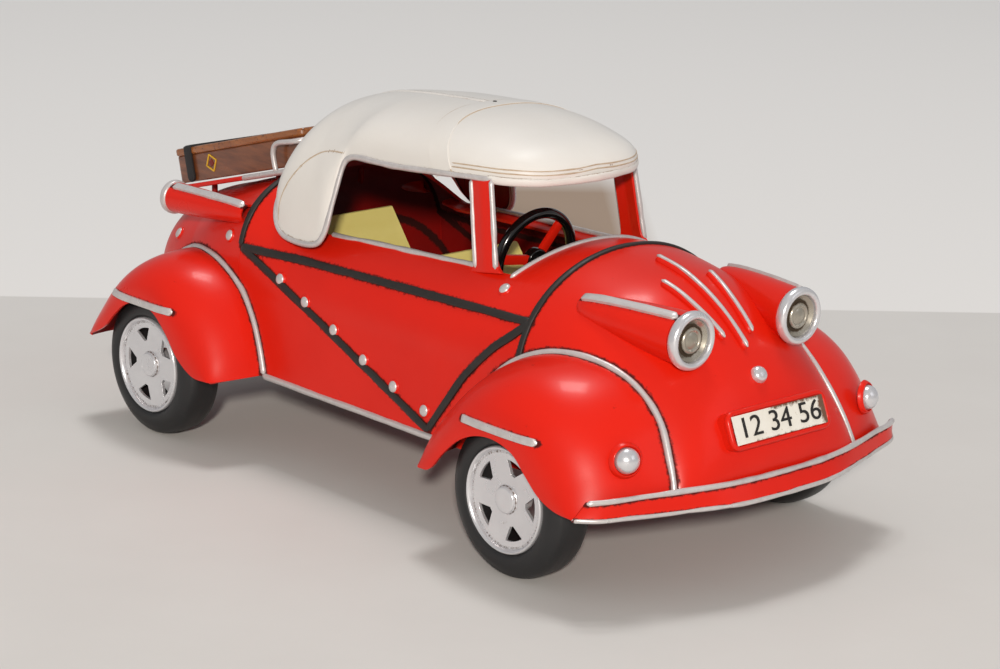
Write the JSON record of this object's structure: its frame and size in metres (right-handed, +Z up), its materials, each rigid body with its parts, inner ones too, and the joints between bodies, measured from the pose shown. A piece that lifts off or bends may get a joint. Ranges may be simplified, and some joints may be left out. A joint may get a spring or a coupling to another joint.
{
  "type": "friction toy car",
  "caption": "Tinplate toy coupe with a hard top, luggage rack and suitcase, rolling wheels and a geared flywheel friction motor on the rear axle.",
  "frame": {"origin": "middle of the footprint, on the surface the tyres stand on", "axes": "+X towards the nose, +Y to the car's left side, +Z up"},
  "size_m": [0.3148, 0.1544, 0.1373],
  "materials": {
    "red_enamel": "gloss hand-brushed enamel",
    "dark_red_enamel": "thin satin enamel",
    "cream_enamel": "satin enamel with brown wash in the seams",
    "plate_enamel": "satin enamel, rust stained",
    "silver_paint": "brushed-on silver paint over solder",
    "lamp_dish": "silver paint with brown wash",
    "bright_steel": "drawn steel",
    "brass_gear": "stamped brass",
    "black_enamel": "gloss enamel",
    "black_strap": "satin enamel on a tin strip",
    "yellow_enamel": "satin enamel",
    "brown_lacquer": "gloss brown lacquer",
    "tan_lacquer": "gloss brown lacquer, worn at the edges",
    "tyre_rubber": "satin black"
  },
  "bodies": {
    "car_body": {"dashboard": "dark_red_enamel", "floor_pan": "dark_red_enamel", "front_bumper": "red_enamel", "front_seat": "yellow_enamel", "hood_fin": "silver_paint", "left_front_axle_bracket": "dark_red_enamel", "left_front_fender": "red_enamel", "left_headlight_lens": "lamp_dish", "left_headlight_pod": "red_enamel", "left_headlight_ring": "silver_paint", "left_hood_fin": "silver_paint", "left_rear_axle_bracket": "dark_red_enamel", "left_rear_fender": "red_enamel", "left_side_panel": "red_enamel", "left_signal_lamp": "silver_paint", "left_tail_ring": "silver_paint", "left_tail_tube": "red_enamel", "left_windscreen_post": "red_enamel", "luggage_rack": "silver_paint", "motor_frame": "bright_steel", "nose_badge": "silver_paint", "nose_shell": "red_enamel", "number_plate": "plate_enamel", "number_plate_pad": "red_enamel", "rear_seat": "yellow_enamel", "right_front_axle_bracket": "dark_red_enamel", "right_front_fender": "red_enamel", "right_headlight_lens": "lamp_dish", "right_headlight_pod": "red_enamel", "right_headlight_ring": "silver_paint", "right_hood_fin": "silver_paint", "right_rear_axle_bracket": "dark_red_enamel", "right_rear_fender": "red_enamel", "right_side_panel": "red_enamel", "right_signal_lamp": "silver_paint", "right_tail_ring": "silver_paint", "right_tail_tube": "red_enamel", "right_windscreen_post": "red_enamel", "roof_shell": "cream_enamel", "steering_column": "black_enamel", "suitcase_body": "brown_lacquer", "suitcase_lid": "tan_lacquer", "suitcase_strap": "black_strap", "tail_shell": "red_enamel"},
    "front_wheels": {"left_front_rim": "silver_paint", "left_front_tyre": "tyre_rubber", "right_front_rim": "silver_paint", "right_front_tyre": "tyre_rubber", "front_axle": "bright_steel"},
    "rear_wheels": {"left_rear_rim": "silver_paint", "left_rear_tyre": "tyre_rubber", "right_rear_rim": "silver_paint", "right_rear_tyre": "tyre_rubber", "rear_axle": "bright_steel", "drive_gear": "brass_gear"},
    "countershaft": {"countershaft": "brass_gear"},
    "flywheel": {"flywheel": "bright_steel"},
    "steering_wheel": {"steering_wheel": "black_enamel"}
  },
  "joints": [
    {"name": "front_axle_spin", "type": "hinge", "parent": "car_body", "child": "front_wheels", "pos_m": [0.0944, 0, 0.0271], "axis": [0, 1, 0], "continuous": true},
    {"name": "rear_axle_spin", "type": "hinge", "parent": "car_body", "child": "rear_wheels", "pos_m": [-0.1056, 0, 0.0271], "axis": [0, 1, 0], "continuous": true},
    {"name": "countershaft_spin", "type": "hinge", "parent": "car_body", "child": "countershaft", "pos_m": [-0.11152, 0, 0.04531], "axis": [0, 1, 0], "continuous": true},
    {"name": "flywheel_spin", "type": "hinge", "parent": "car_body", "child": "flywheel", "pos_m": [-0.1056, 0, 0.06352], "axis": [0, 1, 0], "continuous": true},
    {"name": "steering_wheel_spin", "type": "hinge", "parent": "car_body", "child": "steering_wheel", "pos_m": [0.0309, 0, 0.085], "axis": [0.9893, 0, -0.1461], "continuous": true}
  ],
  "couplings": [
    {"joint": "countershaft_spin", "follows": "rear_axle_spin", "ratio": -2.8},
    {"joint": "flywheel_spin", "follows": "rear_axle_spin", "ratio": 7.84}
  ]
}
